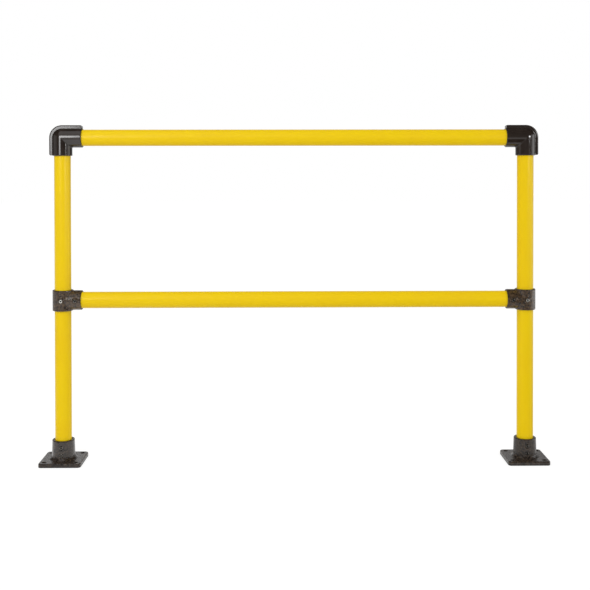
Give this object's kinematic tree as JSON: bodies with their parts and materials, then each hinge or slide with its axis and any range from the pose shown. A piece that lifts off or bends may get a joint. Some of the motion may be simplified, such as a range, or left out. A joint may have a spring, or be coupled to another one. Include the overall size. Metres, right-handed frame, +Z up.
{
  "type": "handrail section",
  "caption": "Straight handrail section: tubular posts on bolted base flanges carry a top rail and a mid rail, joined by cast elbows and tees with set screws.",
  "frame": {"origin": "on the floor, midway between the two posts", "axes": "+X along the rails towards the right post seen from the front, +Y to the back, +Z up; the set screws of the tees and base flanges face the front, -Y"},
  "size_m": [1.5, 0.124, 1],
  "materials": {
    "yellow_powder_coat": "satin",
    "black_enamelled_casting": "gloss",
    "black_cast_iron": "satin",
    "zinc_screw": "satin",
    "black_screw": "satin"
  },
  "bodies": {
    "root": {"left_base_flange": "black_cast_iron", "left_base_lower_screw": "black_screw", "left_base_upper_screw": "black_screw", "left_elbow": "black_enamelled_casting", "left_elbow_post_screw": "black_screw", "left_elbow_rail_screw": "black_screw", "left_post": "yellow_powder_coat", "left_tee": "black_cast_iron", "left_tee_post_screw": "zinc_screw", "left_tee_rail_screw": "black_screw", "mid_rail": "yellow_powder_coat", "right_base_flange": "black_cast_iron", "right_base_lower_screw": "black_screw", "right_base_upper_screw": "black_screw", "right_elbow": "black_enamelled_casting", "right_elbow_post_screw": "black_screw", "right_elbow_rail_screw": "black_screw", "right_post": "yellow_powder_coat", "right_tee": "black_cast_iron", "right_tee_post_screw": "zinc_screw", "right_tee_rail_screw": "black_screw", "top_rail": "yellow_powder_coat"}
  },
  "joints": []
}
